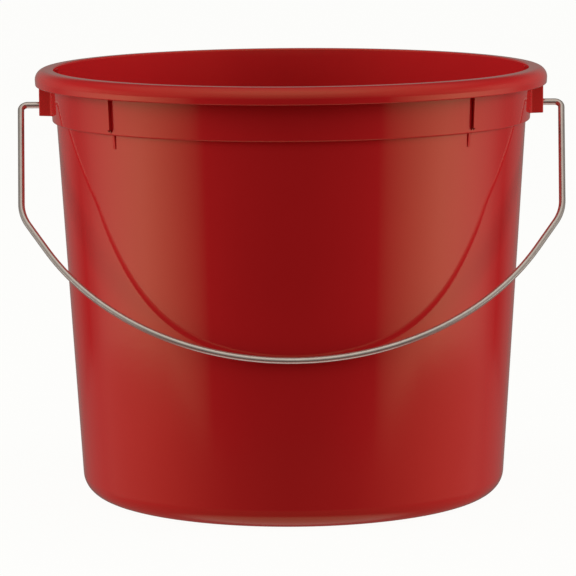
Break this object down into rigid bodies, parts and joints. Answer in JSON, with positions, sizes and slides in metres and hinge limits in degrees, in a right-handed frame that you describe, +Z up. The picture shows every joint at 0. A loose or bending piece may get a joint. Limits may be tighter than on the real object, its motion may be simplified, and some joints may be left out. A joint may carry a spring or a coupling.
{
  "type": "wash bucket",
  "caption": "Tapered round moulded pail with a rolled rim, hollow side ears, nesting ribs and a swinging wire bail.",
  "frame": {"origin": "centre of the foot, on the surface the pail stands on", "axes": "+Z up, +X along the bail's pivot axis, -Y the front, where the bail hangs at rest"},
  "size_m": [0.2352, 0.22, 0.1845],
  "materials": {
    "pail_plastic": "glossy moulded red polypropylene",
    "bail_wire": "bright plated drawn wire"
  },
  "bodies": {
    "pail": {"pail": "pail_plastic"},
    "bail": {"wire_bail": "bail_wire"}
  },
  "joints": [
    {"name": "bail_swing", "type": "hinge", "parent": "pail", "child": "bail", "pos_m": [0, 0, 0.1685], "axis": [-1, 0, 0], "range_deg": [0, 269.6]}
  ]
}
